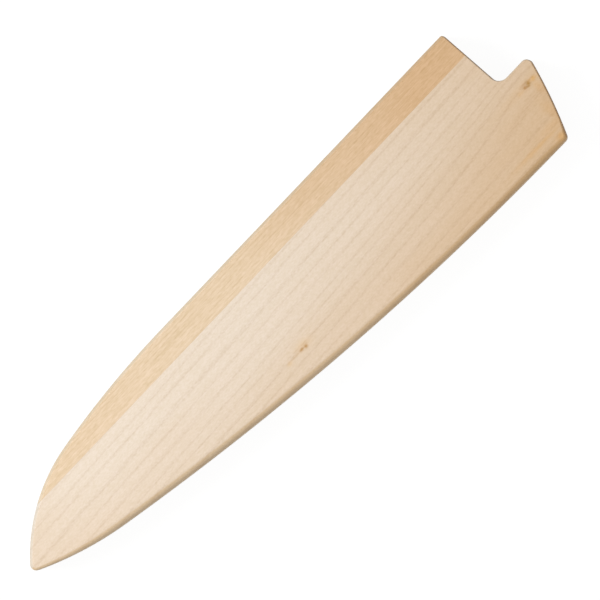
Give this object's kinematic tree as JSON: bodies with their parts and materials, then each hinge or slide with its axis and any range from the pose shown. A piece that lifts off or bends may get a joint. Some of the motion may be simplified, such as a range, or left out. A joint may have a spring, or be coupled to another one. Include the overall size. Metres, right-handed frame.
{
  "type": "knife blade guard",
  "caption": "Flat maple guard that slides over a chef's knife blade, glued from two routed halves, with hidden magnets that hold the blade in its slot.",
  "frame": {"origin": "middle of the guard's box, on its back face", "axes": "+X along the guard from its tip to its open end, +Y from the edge side to the spine side, +Z from the back face to the front face"},
  "size_m": [0.232, 0.053, 0.015],
  "materials": {
    "maple_board": "bare sanded maple, satin",
    "maple_strip": "bare sanded maple, satin, a little darker",
    "maple_cap": "bare sanded maple",
    "magnet": "nickel plating, bright"
  },
  "bodies": {
    "root": {"front_spine_strip": "maple_strip", "front_blade_board": "maple_board", "back_spine_strip": "maple_strip", "back_blade_board": "maple_board", "front_magnet_1": "magnet", "front_magnet_2": "magnet", "front_magnet_3": "magnet", "front_magnet_4": "magnet", "front_magnet_cap_1": "maple_cap", "front_magnet_cap_2": "maple_cap", "front_magnet_cap_3": "maple_cap", "front_magnet_cap_4": "maple_cap", "back_magnet_1": "magnet", "back_magnet_2": "magnet", "back_magnet_3": "magnet", "back_magnet_4": "magnet", "back_magnet_cap_1": "maple_cap", "back_magnet_cap_2": "maple_cap", "back_magnet_cap_3": "maple_cap", "back_magnet_cap_4": "maple_cap"}
  },
  "joints": []
}
